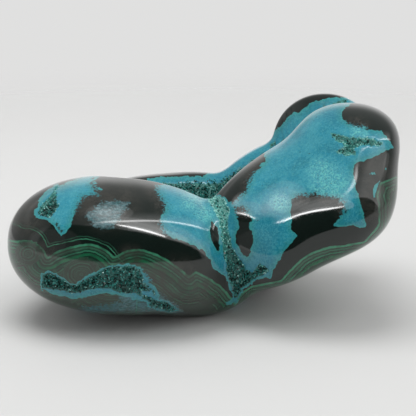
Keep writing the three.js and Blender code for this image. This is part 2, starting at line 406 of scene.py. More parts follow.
# Rings round single seeds inside that line: right, up and outer radius.
ringSeeds = [((-50.5, -12.7), 3.6), ((-35.5, -18.6), 5.0)]

# Shells on the sides that the front view doesn't reach: seed in mm in the stone's own place, first radius.
hiddenSeeds = [
    ((-50, 14, 8), 13), ((-30, 38, 4), 19), ((-2, 40, 6), 15), ((24, 37, 12), 17), ((47, 30, 36), 13),
    ((57, 6, 28), 13), ((-58, -6, 20), 9), ((0, -8, -4), 12), ((34, 4, 8), 13), ((-34, 20, -4), 14),
]

# Blue lumps and crystal pockets on those sides.
hiddenSides = {
    "blueLumps": [
        ((-24, 30, 24), 11), ((-46, 10, 24), 8), ((-36, 14, 34), 7), ((16, 33, 22), 10), ((4, 34, 10), 7),
        ((40, 33, 46), 8), ((30, 30, 52), 6), ((51, 14, 36), 7), ((44, 4, 20), 7), ((6, 4, 0), 8),
        ((-26, -8, 1), 9), ((-30, 22, 3), 7), ((26, 6, 12), 7),
    ],
    "crystalPockets": [
        (0.3, [((-14, 35, 22), 1.5), ((-4, 36, 19), 3), ((8, 37, 20), 2)]),
        (0.45, [((22, 37, 34), 1.5), ((30, 38, 40), 2.4), ((36, 38, 43), 1)]),
        (0.3, [((-40, 22, 16), 1.2), ((-44, 14, 14), 2.2), ((-48, 8, 15), 1)]),
        (0.35, [((52, 12, 42), 1), ((53, 12, 37), 1.8), ((52, 10, 32), 0.8)]),
        (0.3, [((20, 4, 8), 1.2), ((30, 4, 13), 1.8), ((38, 4, 17), 1)]),
    ],
    "hollowCrystals": 1.2,  # mm from the swept hollow that its crystal lining reaches
    "hollowBlue": 4.0,
    "hollowTone": 0.4,
}


def onFrontSheet(points):
    # Seen from the front view's eye: mm to the right, mm above and mm behind the sheet through the aim.
    tip = math.radians(frontView["elevation"])
    ahead = np.array([0, math.cos(tip), -math.sin(tip)])
    upward = np.array([0, math.sin(tip), math.cos(tip)])
    offset = points - (boxMiddle / millimetre + np.array(frontView["aim"]))
    depth = offset @ ahead
    shrink = frontView["distance"] / (frontView["distance"] + depth)
    return offset[:, 0] * shrink, (offset @ upward) * shrink, depth


def drawnLine(outline):
    # A bent run leaves its chord by 4 * bend * t * (1 - t), with t from 0 to 1 along the chord.
    runs = []
    for (x, y, *bend), end in zip(outline, outline[1:] + outline[:1]):
        t = np.linspace(0, 1, 7)[:-1, None] if bend else np.zeros((1, 1))
        chord = np.array(end[:2]) - (x, y)
        left = np.array([-chord[1], chord[0]]) / np.linalg.norm(chord)
        runs.append((x, y) + t * chord + 4 * sum(bend) * t * (1 - t) * left)
    return np.concatenate(runs)


def insideOutline(right, up, outline):
    # Distance in mm to a closed outline, positive inside it.
    corners = drawnLine(outline)
    nearest = np.full(right.shape, 1e9)
    inside = np.zeros(right.shape, bool)
    for start, end in zip(corners, np.roll(corners, -1, axis=0)):
        run = end - start
        share = np.clip(((right - start[0]) * run[0] + (up - start[1]) * run[1]) / (run @ run), 0, 1)
        gap = np.hypot(right - start[0] - share * run[0], up - start[1] - share * run[1])
        nearest = np.minimum(nearest, gap)
        crosses = (start[1] > up) != (end[1] > up)
        rise = np.where(run[1] == 0, 1e-9, run[1])
        inside ^= crosses & (right < start[0] + (up - start[1]) * run[0] / rise)
    return np.where(inside, nearest, -nearest)


def insideStreak(right, up, chain):
    # Positive inside a chain of tapering round ends.
    flat = np.stack([right, up, 0 * right], -1)
    balls = [((x, y, 0), radius) for x, y, radius in chain]
    return -sweptBalls(flat, balls, 0.01)


def growthShells(right, up, points, drawn):
    # Distance outside the line where growth stopped, and outside the upper line. Rings round a seed replace
    # it inside their radius. On the hidden sides it is the distance outside the nearest seed's first shell.
    shells = -insideOutline(right, up, growthFront)
    for (x, y), radius in ringSeeds:
        reach = np.hypot(right - x, (up - y) * 1.1)
        shells = np.where(reach < radius, reach - radius - 8.2, shells)
    hidden = np.full(right.shape, 1e9)
    for centre, radius in hiddenSeeds:
        hidden = np.minimum(hidden, np.linalg.norm(points - np.array(centre), axis=1) - radius)
    upper = -insideOutline(right, up, upperFront)
    return shells * drawn + hidden * (1 - drawn), upper * drawn + 9 * (1 - drawn)


def roundSpots(right, up, spots):
    # Strongest of the soft round spots: 1 at a centre, easing to 0 at its radius and a bit.
    strength = np.zeros(right.shape)
    for x, y, radius in spots:
        strength = np.maximum(strength, 1 - smoothStep(0.4, 1.25, np.hypot(right - x, up - y) / radius))
    return strength


def deepest(right, up, outlines):
    inside = np.full(right.shape, -9.0)
    for outline in outlines.values():
        inside = np.maximum(inside, insideOutline(right, up, outline))
    return inside


def stoneFields(points, normals):
    right, up, depth = onFrontSheet(points)
    jitter = 0.3 * ripple(points, 3.0, 5)
    wobble = 0.3 * ripple(points, 1.6, 6, 2)

    # how far each point is seen by the front view, and whether it lies before or behind the hollow
    tip = math.radians(frontView["elevation"])
    eye = boxMiddle / millimetre + np.array(frontView["aim"])
    eye = eye + frontView["distance"] * np.array([0, -math.cos(tip), math.sin(tip)])
    toEye = eye - points
    facing = (normals * toEye).sum(1) / np.linalg.norm(toEye, axis=1)
    upright = stoodUp(points - bodyShift)
    valley = np.array([centre for centre, radius in stoneBody["hollow"]])
    valleyY = np.interp(upright[:, 0], valley[:, 0], valley[:, 1])
    before = 1 - smoothStep(-1.5, 1.5, upright[:, 1] - valleyY)
    seen = smoothStep(-0.5, -0.1, facing)
    front = seen * before
    behind = seen * (1 - before)

    frontBlue = deepest(right, up, frontDrawing["blue"])
    for chain in frontDrawing["blueStreaks"].values():
        frontBlue = np.maximum(frontBlue, insideStreak(right, up, chain))
    frontBlue = np.minimum(frontBlue, -deepest(right, up, frontDrawing["dark"]))
    behindBlue = deepest(right, up, frontDrawing["behindBlue"])
    flecks = deepest(right, up, frontDrawing["flecked"])

    crystals = {False: np.full(right.shape, -9.0), True: np.full(right.shape, -9.0)}
    tones = {False: np.full(right.shape, 0.3), True: np.full(right.shape, 0.4)}
    druse = []
    for name, (high, low, outline) in frontDruse["areas"].items():
        heights = [corner[1] for corner in outline]
        level = low + (high - low) * smoothStep(min(heights), max(heights), up)
        druse.append((name.startswith("behind"), level, insideOutline(right, up, outline)))
    for name, (level, chain) in frontDruse["streaks"].items():
        druse.append((name.startswith("behind"), level, insideStreak(right, up, chain)))
    for back, level, inside in druse:
        tones[back] = np.where(inside > crystals[back], level, tones[back])
        crystals[back] = np.maximum(crystals[back], inside)

    hollow = sweptBalls(upright, stoneBody["hollow"], stoneBody["hollowJoin"]) + 0.9 * ripple(points, 9.0, 11)
    hiddenBlue = np.full(right.shape, -9.0)
    for centre, radius in hiddenSides["blueLumps"]:
        lump = radius - np.linalg.norm((points - np.array(centre)) * (0.8, 1, 1.25), axis=1)
        hiddenBlue = -melt(-hiddenBlue, -lump, 6)
    hiddenBlue = hiddenBlue + 7.5 * ripple(points, 24.0, 12, 5) - 1.5
    hiddenCrystals = np.full(right.shape, -9.0)
    hiddenTone = np.full(right.shape, hiddenSides["hollowTone"])
    for level, balls in hiddenSides["crystalPockets"]:
        inside = -sweptBalls(points, balls, 0.5) + 0.8 * ripple(points, 7.0, 13)
        hiddenTone = np.where(inside > hiddenCrystals, level, hiddenTone)
        hiddenCrystals = np.maximum(hiddenCrystals, inside)
    hiddenBlue = np.maximum(hiddenBlue, hiddenCrystals + 1.6)
    hiddenCrystals = np.maximum(hiddenCrystals, hiddenSides["hollowCrystals"] - hollow)
    hiddenBlue = np.maximum(hiddenBlue, hiddenSides["hollowBlue"] - hollow)

    unseen = 1 - front - behind
    blue = frontBlue * front + behindBlue * behind + hiddenBlue * unseen
    allCrystals = crystals[False] * front + crystals[True] * behind + hiddenCrystals * unseen
    tone = tones[False] * front + tones[True] * behind + hiddenTone * unseen
    allCrystals = allCrystals + wobble
    blue = np.maximum(blue + jitter, allCrystals + 0.45)
    shells, upperShells = growthShells(right, up, points, front)
    onFoot = points[:, 2] < 0.02
    return {
        "blue": blue,
        "crystals": np.where(onFoot, -3.0, allCrystals),
        "tone": tone,
        "shells": shells,
        "upperShells": upperShells,
        "flecks": flecks * front - 9 * (1 - front),
        "soft": np.maximum(roundSpots(right, up, frontDrawing["softEdges"]) * front, 0.35 * unseen),
        "milky": roundSpots(right, up, frontDrawing["milky"]) * front,
        # deep: the spots above, partly painted shade, and a little deeper blue over the back ridge and the
        # hidden sides
        "deep": np.maximum(roundSpots(right, up, frontDrawing["deep"]) * front, 0.45 * behind + 0.2 * unseen),
        # dusky brown-grey: the spots above, partly painted sheen, and a little all over the hidden sides
        "duskyAndSheen": np.maximum(roundSpots(right, up, frontDrawing["duskyAndSheen"]) * front, 0.3 * unseen),
    }


# Polished stone: how deep the crystal pockets are ground below the polish, in mm.
polish = {
    "pocketDepth": 0.9,
    "pocketEdge": 0.9,
}


def makeStone(surface):
    rows, columns = stoneGrid["along"], stoneGrid["around"]
    normals = surfaceNormals(surface)
    keep = np.concatenate([[0], np.arange(columns, (rows - 1) * columns), [rows * columns - 1]])
    surface, normals = surface[keep], normals[keep]
    points = surface + bodyShift
    fields = stoneFields(points, normals)
    pocket = polish["pocketDepth"] * smoothStep(0, polish["pocketEdge"], fields["crystals"])
    points = points - normals * pocket[:, None]
    points[:, 2] = np.maximum(points[:, 2], 0)
    quads, triangles = closedGridFaces(rows, columns)
    stone = buildMesh("chrysocolla_surface", points, quads, triangles, True)
    # the polish keeps the body's exact normals, and the pockets take their own
    own = np.empty(len(points) * 3, np.float32)
    stone.data.vertices.foreach_get("normal", own)
    pitted = smoothStep(-0.6, -0.1, fields["crystals"])[:, None]
    shown = normals * (1 - pitted) + own.reshape(-1, 3) * pitted
    shown[points[:, 2] < 0.03] = (0, 0, -1)
    shown /= np.linalg.norm(shown, axis=1, keepdims=True)
    stone.data.normals_split_custom_set_from_vertices(shown.astype(np.float32))
    storeOnPoints(stone, fields)
    return stone, points, normals, fields


# The body's lobes were laid out before it was centred, so its own box is matched to the CAD box.
def findBodyShift(surface):
    middle = (surface.min(0) + surface.max(0)) / 2
    shift = boxMiddle / millimetre - middle
    shift[2] = 0
    return shift


coreOrigins, coreDirections = coreSpokes()
bareSurface = surfaceAlong(coreOrigins, coreDirections)
bodyShift = findBodyShift(bareSurface)
print("body shift in mm:", np.round(bodyShift, 3))
stone, stonePoints, stoneNormals, stoneField = makeStone(bareSurface)
print("stone surface:", len(stone.data.vertices), "points,", len(stone.data.polygons), "faces")

# Crystals of the druse: five-sided points a few tenths of a millimetre across.
crystalLook = {
    "perSquareMillimetre": 9.4,
    "most": 13200,  # crystals in one piece
    "radius": (0.1, 0.27),  # mm
    "height": (0.25, 0.75),
    "lean": 0.45,
    "sunk": 0.35,
    "toneSpread": 0.3,
}


def crystalsOn(name, points, normals, fields, seed):
    # Each crystal is a ring at its root, a ring at its shoulder and a tip. It stands at a random place on the
    # grid's triangles where the crystal field is positive, leaning off the normal by a random amount.
    draw = np.random.default_rng(seed)
    rows, columns = stoneGrid["along"], stoneGrid["around"]
    quads, triangles = closedGridFaces(rows, columns)
    corners = np.concatenate([quads[:, :3], quads[:, [0, 2, 3]]])
    a, b, c = points[corners[:, 0]], points[corners[:, 1]], points[corners[:, 2]]
    area = np.linalg.norm(np.cross(b - a, c - a), axis=1) / 2
    depthIn = fields["crystals"][corners].mean(1)
    area = area * (depthIn > 0.05)
    count = int(min(crystalLook["most"], area.sum() * crystalLook["perSquareMillimetre"]))
    print("  crystal ground:", round(area.sum()), "square mm,", count, "crystals")
    chosen = draw.choice(len(corners), count, p=area / area.sum())
    s, t = draw.uniform(size=(2, count, 1))
    s, t = np.where(s + t > 1, 1 - s, s), np.where(s + t > 1, 1 - t, t)
    root = a[chosen] + s * (b - a)[chosen] + t * (c - a)[chosen]
    normal = normals[corners[chosen, 0]]
    inward = fields["crystals"][corners[chosen]].mean(1)
    tone = fields["tone"][corners[chosen, 0]] + draw.normal(0, crystalLook["toneSpread"], count)
    tone = tone + 0.12 * ripple(root, 4.0, seed + 1)
    size = draw.uniform(size=count) ** 1.6
    radius = crystalLook["radius"][0] + size * (crystalLook["radius"][1] - crystalLook["radius"][0])
    height = crystalLook["height"][0] + size * (crystalLook["height"][1] - crystalLook["height"][0])
    height = height * draw.uniform(0.7, 1.2, count) * smoothStep(-0.2, 0.9, inward)
    up = normal + crystalLook["lean"] * draw.normal(size=(count, 3)) * 0.6
    up /= np.linalg.norm(up, axis=1, keepdims=True)
    aside = np.cross(up, draw.normal(size=(count, 3)))
    aside /= np.linalg.norm(aside, axis=1, keepdims=True)
    across = np.cross(up, aside)
    turns = 2 * math.pi * np.arange(5) / 5
    uneven = draw.uniform(0.75, 1.25, (count, 5, 1))
    ring = aside[:, None, :] * np.cos(turns)[None, :, None]
    ring = ring + across[:, None, :] * np.sin(turns)[None, :, None]
    ring = ring * uneven * radius[:, None, None]
    low = root[:, None, :] - up[:, None, :] * crystalLook["sunk"] + ring
    shoulder = draw.uniform(0.35, 0.7, (count, 1, 1))
    high = root[:, None, :] + up[:, None, :] * height[:, None, None] * shoulder + ring * 0.92
    tip = root[:, None, :] + up[:, None, :] * height[:, None, None]
    tip = tip + aside[:, None, :] * radius[:, None, None] * 0.15
    allPoints = np.concatenate([low, high, tip], axis=1)
    k = np.arange(5)
    n = (k + 1) % 5
    sides = np.concatenate([np.stack([k, n, n + 5], -1), np.stack([k, n + 5, k + 5], -1)])
    point = np.stack([k + 5, n + 5, np.full(5, 10)], -1)
    single = np.concatenate([sides, point])
    faces = (single[None] + 11 * np.arange(count)[:, None, None]).reshape(-1, 3)
    cluster = buildMesh(name, allPoints.reshape(-1, 3), np.zeros((0, 4), int), faces, False)
    tips = np.tile(np.concatenate([np.zeros(5), np.full(5, 0.6), [1]]), count)
    storeOnPoints(cluster, {"tone": np.repeat(np.clip(tone, 0, 1), 11), "tip": tips})
    return cluster


crystals = crystalsOn("druse_crystals", stonePoints, stoneNormals, stoneField, 21)
print("crystals:", len(crystals.data.polygons), "faces")


def addNode(tree, kind, settings=None, values=None):
    # Places one node. Values go by socket name or number: a socket from another node is linked, and a word is
    # a mineral colour.
    node = tree.nodes.new(kind)
    for name, value in (settings or {}).items():
        setattr(node, name, value)
    for name, value in (values or {}).items():
        setSocket(tree, node.inputs[name], value)
    return node


def setSocket(tree, socket, value):
    if isinstance(value, bpy.types.NodeSocket):
        tree.links.new(value, socket)
    else:
        socket.default_value = mineralColours[value] if isinstance(value, str) else value


def calc(tree, operation, *values, clamp=False):
    settings = {"operation": operation, "use_clamp": clamp}
    return addNode(tree, "ShaderNodeMath", settings, dict(enumerate(values))).outputs[0]


def times(tree, first, *others):
    for other in others:
        first = calc(tree, "MULTIPLY", first, other)
    return first


def gapTo(tree, value, place):
    return calc(tree, "ABSOLUTE", calc(tree, "SUBTRACT", value, place))


def dotWith(tree, vector, fixed):
    return addNode(tree, "ShaderNodeVectorMath", {"operation": "DOT_PRODUCT"},
                   {0: vector, 1: tuple(fixed)}).outputs["Value"]


def between(tree, value, low, high, outLow=0.0, outHigh=1.0):
    # Eases from outLow to outHigh as value goes from low to high.
    node = addNode(tree, "ShaderNodeMapRange", {"interpolation_type": "SMOOTHSTEP"},
                   {"Value": value, "From Min": low, "From Max": high, "To Min": outLow, "To Max": outHigh})
    return node.outputs["Result"]


def mixColour(tree, share, first, second, mode="MIX"):
    node = addNode(tree, "ShaderNodeMix", {"data_type": "RGBA", "blend_type": mode})
    setSocket(tree, node.inputs[0], share)
    setSocket(tree, node.inputs[6], first)
    setSocket(tree, node.inputs[7], second)
    return node.outputs[2]


def noise(tree, point, scale, detail=2.0, roughness=0.5, stretch=0.0):
    values = {"Vector": point, "Scale": scale, "Detail": detail, "Roughness": roughness}
    node = addNode(tree, "ShaderNodeTexNoise", None, {**values, "Distortion": stretch})
    return node.outputs["Fac"]


def lineNoise(tree, value, scale, detail=2.0, roughness=0.5):
    node = addNode(tree, "ShaderNodeTexNoise", {"noise_dimensions": "1D"},
                   {"W": value, "Scale": scale, "Detail": detail, "Roughness": roughness})
    return node.outputs["Fac"]


def colourRamp(tree, value, stops):
    node = addNode(tree, "ShaderNodeValToRGB", None, {"Fac": value})
    ramp = node.color_ramp
    while len(ramp.elements) < len(stops):
        ramp.elements.new(0.5)
    for element, (place, colour) in zip(ramp.elements, stops):
        element.position = place
        element.color = mineralColours[colour] if isinstance(colour, str) else colour
    return node.outputs["Color"]


def newGroup(name, takes, gives):
    # An empty group with its inputs and outputs, given as (name, kind) pairs.
    group = bpy.data.node_groups.new(name, "ShaderNodeTree")
    for socketName, kind in takes:
        group.interface.new_socket(name=socketName, in_out="INPUT", socket_type="NodeSocket" + kind)
    for socketName, kind in gives:
        group.interface.new_socket(name=socketName, in_out="OUTPUT", socket_type="NodeSocket" + kind)
    source = group.nodes.new("NodeGroupInput").outputs
    target = group.nodes.new("NodeGroupOutput").inputs
    return group, source, target


def useGroup(tree, group, values):
    return addNode(tree, "ShaderNodeGroup", {"node_tree": group}, values).outputs


def colour(red, green, blue):
    return (red, green, blue, 1.0)


# Colours are linear light.
mineralColours = {
    "black": colour(0.0055, 0.0105, 0.0085),
    "brown": colour(0.036, 0.036, 0.031),
    "blackGreen": colour(0.006, 0.022, 0.015),
    "deepGreen": colour(0.008, 0.045, 0.026),
    "vividGreen": colour(0.012, 0.12, 0.055),
    "paleGreen": colour(0.04, 0.2, 0.115),
    "cream": colour(0.22, 0.36, 0.27),
    "blue": colour(0.017, 0.226, 0.322),
    "deepBlue": colour(0.012, 0.165, 0.235),
    "paleBlue": colour(0.065, 0.322, 0.392),
    "greenBlue": colour(0.025, 0.2, 0.19),
    "rim": colour(0.035, 0.26, 0.25),
    "vein": colour(0.12, 0.48, 0.46),
    "frost": colour(0.19, 0.35, 0.39),
}


def makeMillimetreGroup():
    # Object place in millimetres, pushed about a little so that nothing runs dead straight.
    group, source, target = newGroup("stonePlace", [("Push", "Float")],
                                     [("Point", "Vector"), ("Pushed", "Vector")])
    place = addNode(group, "ShaderNodeTexCoord").outputs["Object"]
    point = addNode(group, "ShaderNodeVectorMath", {"operation": "SCALE"},
                    {0: place, "Scale": 1000.0}).outputs[0]
    waves = addNode(group, "ShaderNodeTexNoise", None, {"Vector": point, "Scale": 0.35, "Detail": 3.0})
    centred = addNode(group, "ShaderNodeVectorMath", {"operation": "SUBTRACT"},
                      {0: waves.outputs["Color"], 1: (0.5, 0.5, 0.5)}).outputs[0]
    push = addNode(group, "ShaderNodeVectorMath", {"operation": "SCALE"},
                   {0: centred, "Scale": source["Push"]}).outputs[0]
    pushed = addNode(group, "ShaderNodeVectorMath", {"operation": "ADD"}, {0: point, 1: push}).outputs[0]
    group.links.new(point, target["Point"])
    group.links.new(pushed, target["Pushed"])
    return group


def makeRaggedGroup():
    # A distance field with a torn edge: coarse and fine noise are added before the field is cut at zero.
    # Where Soft is 1 the grain grows strong enough to break the edge up into specks.
    group, source, target = newGroup("raggedEdge",
                                     [("Distance", "Float"), ("Point", "Vector"), ("Reach", "Float"),
                                      ("Soft", "Float")],
                                     [("Inside", "Float"), ("Distance", "Float"), ("Rim", "Float")])
    coarse = calc(group, "SUBTRACT", noise(group, source["Point"], 0.55, 5.0, 0.62), 0.5)
    fine = calc(group, "SUBTRACT", noise(group, source["Point"], 1.5, 6.0, 0.72), 0.5)
    grainShare = calc(group, "MULTIPLY_ADD", source["Soft"], 6.0, 0.5)
    torn = calc(group, "MULTIPLY_ADD", fine, grainShare, times(group, coarse, 1.4))
    distance = calc(group, "MULTIPLY_ADD", torn, source["Reach"], source["Distance"])
    width = calc(group, "MULTIPLY_ADD", source["Soft"], 0.5, 0.07)
    inside = between(group, distance, times(group, width, -1.0), width)
    away = gapTo(group, distance, 0.16)
    rim = between(group, away, 0.26, 0.06)
    rim = times(group, rim, calc(group, "SUBTRACT", 1.0, source["Soft"], clamp=True))
    group.links.new(inside, target["Inside"])
    group.links.new(distance, target["Distance"])
    group.links.new(rim, target["Rim"])
    return group


def lineAt(tree, value, place, halfWidth):
    away = gapTo(tree, value, place)
    return between(tree, away, halfWidth * 1.3, halfWidth * 0.5)


def makeMalachiteGroup():
    # Shell bands by distance from where growth stopped: named bright shells, then thin lines and broad dark
    # bands from one-dimensional noise over the same distance.
    group, source, target = newGroup("malachiteBands",
                                     [("Shells", "Float"), ("Upper", "Float"), ("Point", "Vector")],
                                     [("Color", "Color")])
    bend = calc(group, "SUBTRACT", noise(group, source["Point"], 0.25, 3.0, 0.55), 0.5)
    quiver = calc(group, "SUBTRACT", noise(group, source["Point"], 1.3, 2.0), 0.5)
    bend = calc(group, "MULTIPLY_ADD", quiver, 0.35, times(group, bend, 0.9))
    shells = calc(group, "ADD", bend, source["Shells"])
    upper = calc(group, "ADD", bend, source["Upper"])
    inner = between(group, shells, 0.4, -0.3)
    fading = between(group, noise(group, source["Point"], 0.3, 3.0), 0.34, 0.55, 0.45, 1.0)
    broad = lineNoise(group, shells, 0.6, 2.0, 0.6)
    thin = lineNoise(group, shells, 1.25, 2.0, 0.6)
    hair = lineNoise(group, shells, 3.4, 1.0, 0.5)
    base = mixColour(group, times(group, between(group, broad, 0.42, 0.62), inner), "black", "deepGreen")
    brown = times(group, between(group, broad, 0.5, 0.36), inner)
    # far inside the growth line, on the front its low part, the ground turns grey-brown: partly the stone's
    # own brown, partly painted reflection of the pale table
    brown = calc(group, "MAXIMUM", times(group, brown, 0.5), between(group, shells, -3.5, -6.0, 0.0, 0.7))
    base = mixColour(group, brown, base, "brown")
    hairLine = between(group, gapTo(group, hair, 0.5), 0.05, 0.01)
    hairLine = times(group, hairLine, 0.2, fading)
    base = mixColour(group, times(group, hairLine, inner), base, "paleGreen")
    thinLine = between(group, gapTo(group, thin, 0.5), 0.045, 0.012)
    thinLine = times(group, thinLine, 0.3, fading)
    base = mixColour(group, times(group, thinLine, inner), base, "paleGreen")
    for place, halfWidth, strength, tint in ((0.0, 0.32, 1.0, "paleGreen"), (-0.9, 0.14, 0.35, "paleGreen"),
                                             (-1.8, 0.22, 0.6, "paleGreen"), (-2.9, 0.45, 0.9, "vividGreen"),
                                             (-4.9, 0.2, 0.45, "paleGreen"), (-7.2, 0.2, 0.4, "paleGreen")):
        line = times(group, lineAt(group, shells, place, halfWidth), strength)
        base = mixColour(group, times(group, line, fading), base, tint)
    for place, strength in ((0.0, 0.8), (0.7, 0.25)):
        line = times(group, lineAt(group, upper, place, 0.17), strength)
        base = mixColour(group, times(group, line, fading), base, "paleGreen")
    group.links.new(base, target["Color"])
    return group


def makeChrysocollaGroup():
    # Mottled blue: clouds of deep and pale blue, greener towards the edge, specks both ways, and milky
    # patches of pale teal with black-green and cream dots.
    group, source, target = newGroup("chrysocollaBlue",
                                     [("Point", "Vector"), ("Depth", "Float"), ("Milky", "Float"),
                                      ("DeepToneAndShade", "Float")],
                                     [("Color", "Color"), ("Height", "Float")])
    clouds = noise(group, source["Point"], 0.17, 5.0, 0.6, 0.5)
    grain = noise(group, source["Point"], 1.4, 5.0, 0.7)
    fine = noise(group, source["Point"], 4.5, 3.0, 0.7)
    base = colourRamp(group, clouds, [(0.27, "deepBlue"), (0.5, "blue"), (0.86, "paleBlue")])
    base = mixColour(group, times(group, between(group, grain, 0.52, 0.64), 0.55), base, "paleBlue")
    base = mixColour(group, times(group, between(group, grain, 0.47, 0.32), 0.6), base, "deepBlue")
    base = mixColour(group, times(group, between(group, fine, 0.5, 0.36), 0.6), base, "greenBlue")
    # the deep share pulls the blue towards deep blue: partly its own deep tone, partly painted shade on the
    # low blue
    deepShare = times(group, source["DeepToneAndShade"], between(group, grain, 0.62, 0.4, 0.45, 0.85))
    base = mixColour(group, deepShare, base, "deepBlue")
    nearEdge = between(group, source["Depth"], 2.4, 0.3)
    base = mixColour(group, times(group, nearEdge, 0.4), base, "greenBlue")
    milk = times(group, source["Milky"], between(group, grain, 0.36, 0.58, 0.15, 0.8))
    base = mixColour(group, milk, base, "paleBlue")
    veins = gapTo(group, noise(group, source["Point"], 0.7, 3.0, 0.55, 1.2), 0.5)
    veins = times(group, between(group, veins, 0.05, 0.008),
                  calc(group, "MULTIPLY_ADD", source["Milky"], 0.7, 0.2))
    base = mixColour(group, veins, base, "vein")
    creamDots = times(group, between(group, fine, 0.57, 0.66), source["Milky"])
    base = mixColour(group, times(group, creamDots, 0.7), base, "cream")
    specks = addNode(group, "ShaderNodeTexVoronoi", None, {"Vector": source["Point"], "Scale": 1.3})
    speckMask = between(group, specks.outputs["Distance"], 0.3, 0.16)
    rare = between(group, noise(group, source["Point"], 0.5, 2.0), 0.6, 0.68)
    rare = calc(group, "MAXIMUM", rare, times(group, source["Milky"], 0.6))
    speckMask = times(group, speckMask, calc(group, "MAXIMUM", rare, times(group, nearEdge, 0.5)))
    base = mixColour(group, times(group, speckMask, 0.6), base, "blackGreen")
    group.links.new(base, target["Color"])
    group.links.new(grain, target["Height"])
    return group


def makeToneGroup():
    # Druse colour by tone: black-green through deep green and teal to pale teal.
    group, source, target = newGroup("druseTone", [("Tone", "Float"), ("Point", "Vector")],
                                     [("Color", "Color")])
    shift = calc(group, "SUBTRACT", noise(group, source["Point"], 0.9, 3.0, 0.6), 0.5)
    tone = calc(group, "MULTIPLY_ADD", shift, 0.5, source["Tone"], clamp=True)
    tinted = colourRamp(group, tone, [(0.0, colour(0.003, 0.016, 0.013)), (0.25, colour(0.008, 0.066, 0.055)),
                                      (0.5, colour(0.022, 0.175, 0.15)), (0.75, colour(0.07, 0.36, 0.32)),
                                      (1.0, colour(0.34, 0.66, 0.6))])
    group.links.new(tinted, target["Color"])
    return group


placeGroup = makeMillimetreGroup()
raggedGroup = makeRaggedGroup()
malachiteGroup = makeMalachiteGroup()
chrysocollaGroup = makeChrysocollaGroup()
toneGroup = makeToneGroup()


def attribute(tree, name):
    return addNode(tree, "ShaderNodeAttribute", {"attribute_name": name}).outputs["Fac"]


def newMaterial(name):
    material = bpy.data.materials.new(name)
    material.use_nodes = True
    tree = material.node_tree
    shader = tree.nodes["Principled BSDF"]
    return material, tree, shader


def makePolishedStone():
    material, tree, shader = newMaterial("polishedStone")
    place = useGroup(tree, placeGroup, {"Push": 1.0})
    soft = attribute(tree, "soft")
    edge = useGroup(tree, raggedGroup, {"Distance": attribute(tree, "blue"), "Point": place["Point"],
                                        "Reach": 1.0, "Soft": soft})
    bands = useGroup(tree, malachiteGroup, {"Shells": attribute(tree, "shells"), "Point": place["Point"],
                                            "Upper": attribute(tree, "upperShells")})
    blue = useGroup(tree, chrysocollaGroup, {"Point": place["Point"], "Depth": edge["Distance"],
                                             "Milky": attribute(tree, "milky"),
                                             "DeepToneAndShade": attribute(tree, "deep")})
    druse = useGroup(tree, toneGroup, {"Tone": attribute(tree, "tone"), "Point": place["Point"]})

    # brown, cloudy ground near soft edges, and a teal rim just inside hard ones
    nearBlue = between(tree, edge["Distance"], -4.5, -0.5)
    cloudy = times(tree, soft, nearBlue,
                   between(tree, noise(tree, place["Point"], 1.1, 4.0, 0.7), 0.35, 0.65))
    # dusky brown-grey spots: partly the stone's own tone, partly painted sheen
    duskAndSheen = times(tree, attribute(tree, "duskyAndSheen"),
                 between(tree, noise(tree, place["Point"], 0.35, 5.0, 0.65, 0.6), 0.3, 0.65, 0.2, 0.8))
    surface = mixColour(tree, duskAndSheen, bands["Color"], "brown")
    surface = mixColour(tree, cloudy, surface, "brown")
    surface = mixColour(tree, edge["Inside"], surface, blue["Color"])
    surface = mixColour(tree, times(tree, edge["Rim"], 0.75), surface, "rim")

    # frosty specks, drawn out along a slant, scattered through the flecked patches
    flecked = useGroup(tree, raggedGroup, {"Distance": attribute(tree, "flecks"), "Point": place["Point"],
                                           "Reach": 1.6, "Soft": 0.4})
    slant = addNode(tree, "ShaderNodeMapping", None,
                    {"Vector": place["Point"], "Rotation": (0, 0.7, 0), "Scale": (0.45, 1.0, 1.3)}).outputs[0]
    fleckNoise = between(tree, noise(tree, slant, 1.7, 6.0, 0.75), 0.36, 0.66, 0.3, 1.0)
    fleckMask = times(tree, flecked["Inside"], fleckNoise, 0.62)
    fleckTint = mixColour(tree, between(tree, noise(tree, place["Point"], 1.3, 4.0, 0.7), 0.4, 0.6),
                          mixColour(tree, 0.35, blue["Color"], "brown"),
                          mixColour(tree, attribute(tree, "deep"), "frost", "blue"))
    surface = mixColour(tree, fleckMask, surface, fleckTint)

    pocket = between(tree, attribute(tree, "crystals"), -0.05, 0.15)
    surface = mixColour(tree, pocket, surface, druse["Color"])
    tree.links.new(surface, shader.inputs["Base Color"])

    smear = noise(tree, place["Point"], 0.5, 3.0)
    polished = between(tree, smear, 0.3, 0.8, 0.06, 0.11)
    tree.links.new(calc(tree, "MULTIPLY_ADD", pocket, 0.4, polished), shader.inputs["Roughness"])
    shader.inputs["IOR"].default_value = 1.55
    height = times(tree, blue["Height"], times(tree, edge["Inside"], 0.25))
    deep = times(tree, pocket, 3.0)
    height = calc(tree, "MULTIPLY_ADD", noise(tree, place["Point"], 4.0, 2.0), deep, height)
    bump = addNode(tree, "ShaderNodeBump", None, {"Height": height, "Strength": 0.25, "Distance": 0.00008})
    tree.links.new(bump.outputs["Normal"], shader.inputs["Normal"])
    return material


def makeCrystalFinish():
    material, tree, shader = newMaterial("druseCrystal")
    place = useGroup(tree, placeGroup, {"Push": 0.0})
    druse = useGroup(tree, toneGroup, {"Tone": attribute(tree, "tone"), "Point": place["Point"]})
    lighter = mixColour(tree, 0.5, druse["Color"], colour(0.12, 0.42, 0.42))
    tipShare = times(tree, attribute(tree, "tip"), times(tree, attribute(tree, "tone"), 0.6))
    surface = mixColour(tree, tipShare, druse["Color"], lighter)
    tree.links.new(surface, shader.inputs["Base Color"])
    shader.inputs["Roughness"].default_value = 0.18
    shader.inputs["IOR"].default_value = 1.55
    return material


stone.data.materials.append(makePolishedStone())
crystals.data.materials.append(makeCrystalFinish())
print("materials made")

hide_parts("chrysocolla_stone")
for piece in (stone, crystals):
    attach(piece, "root")

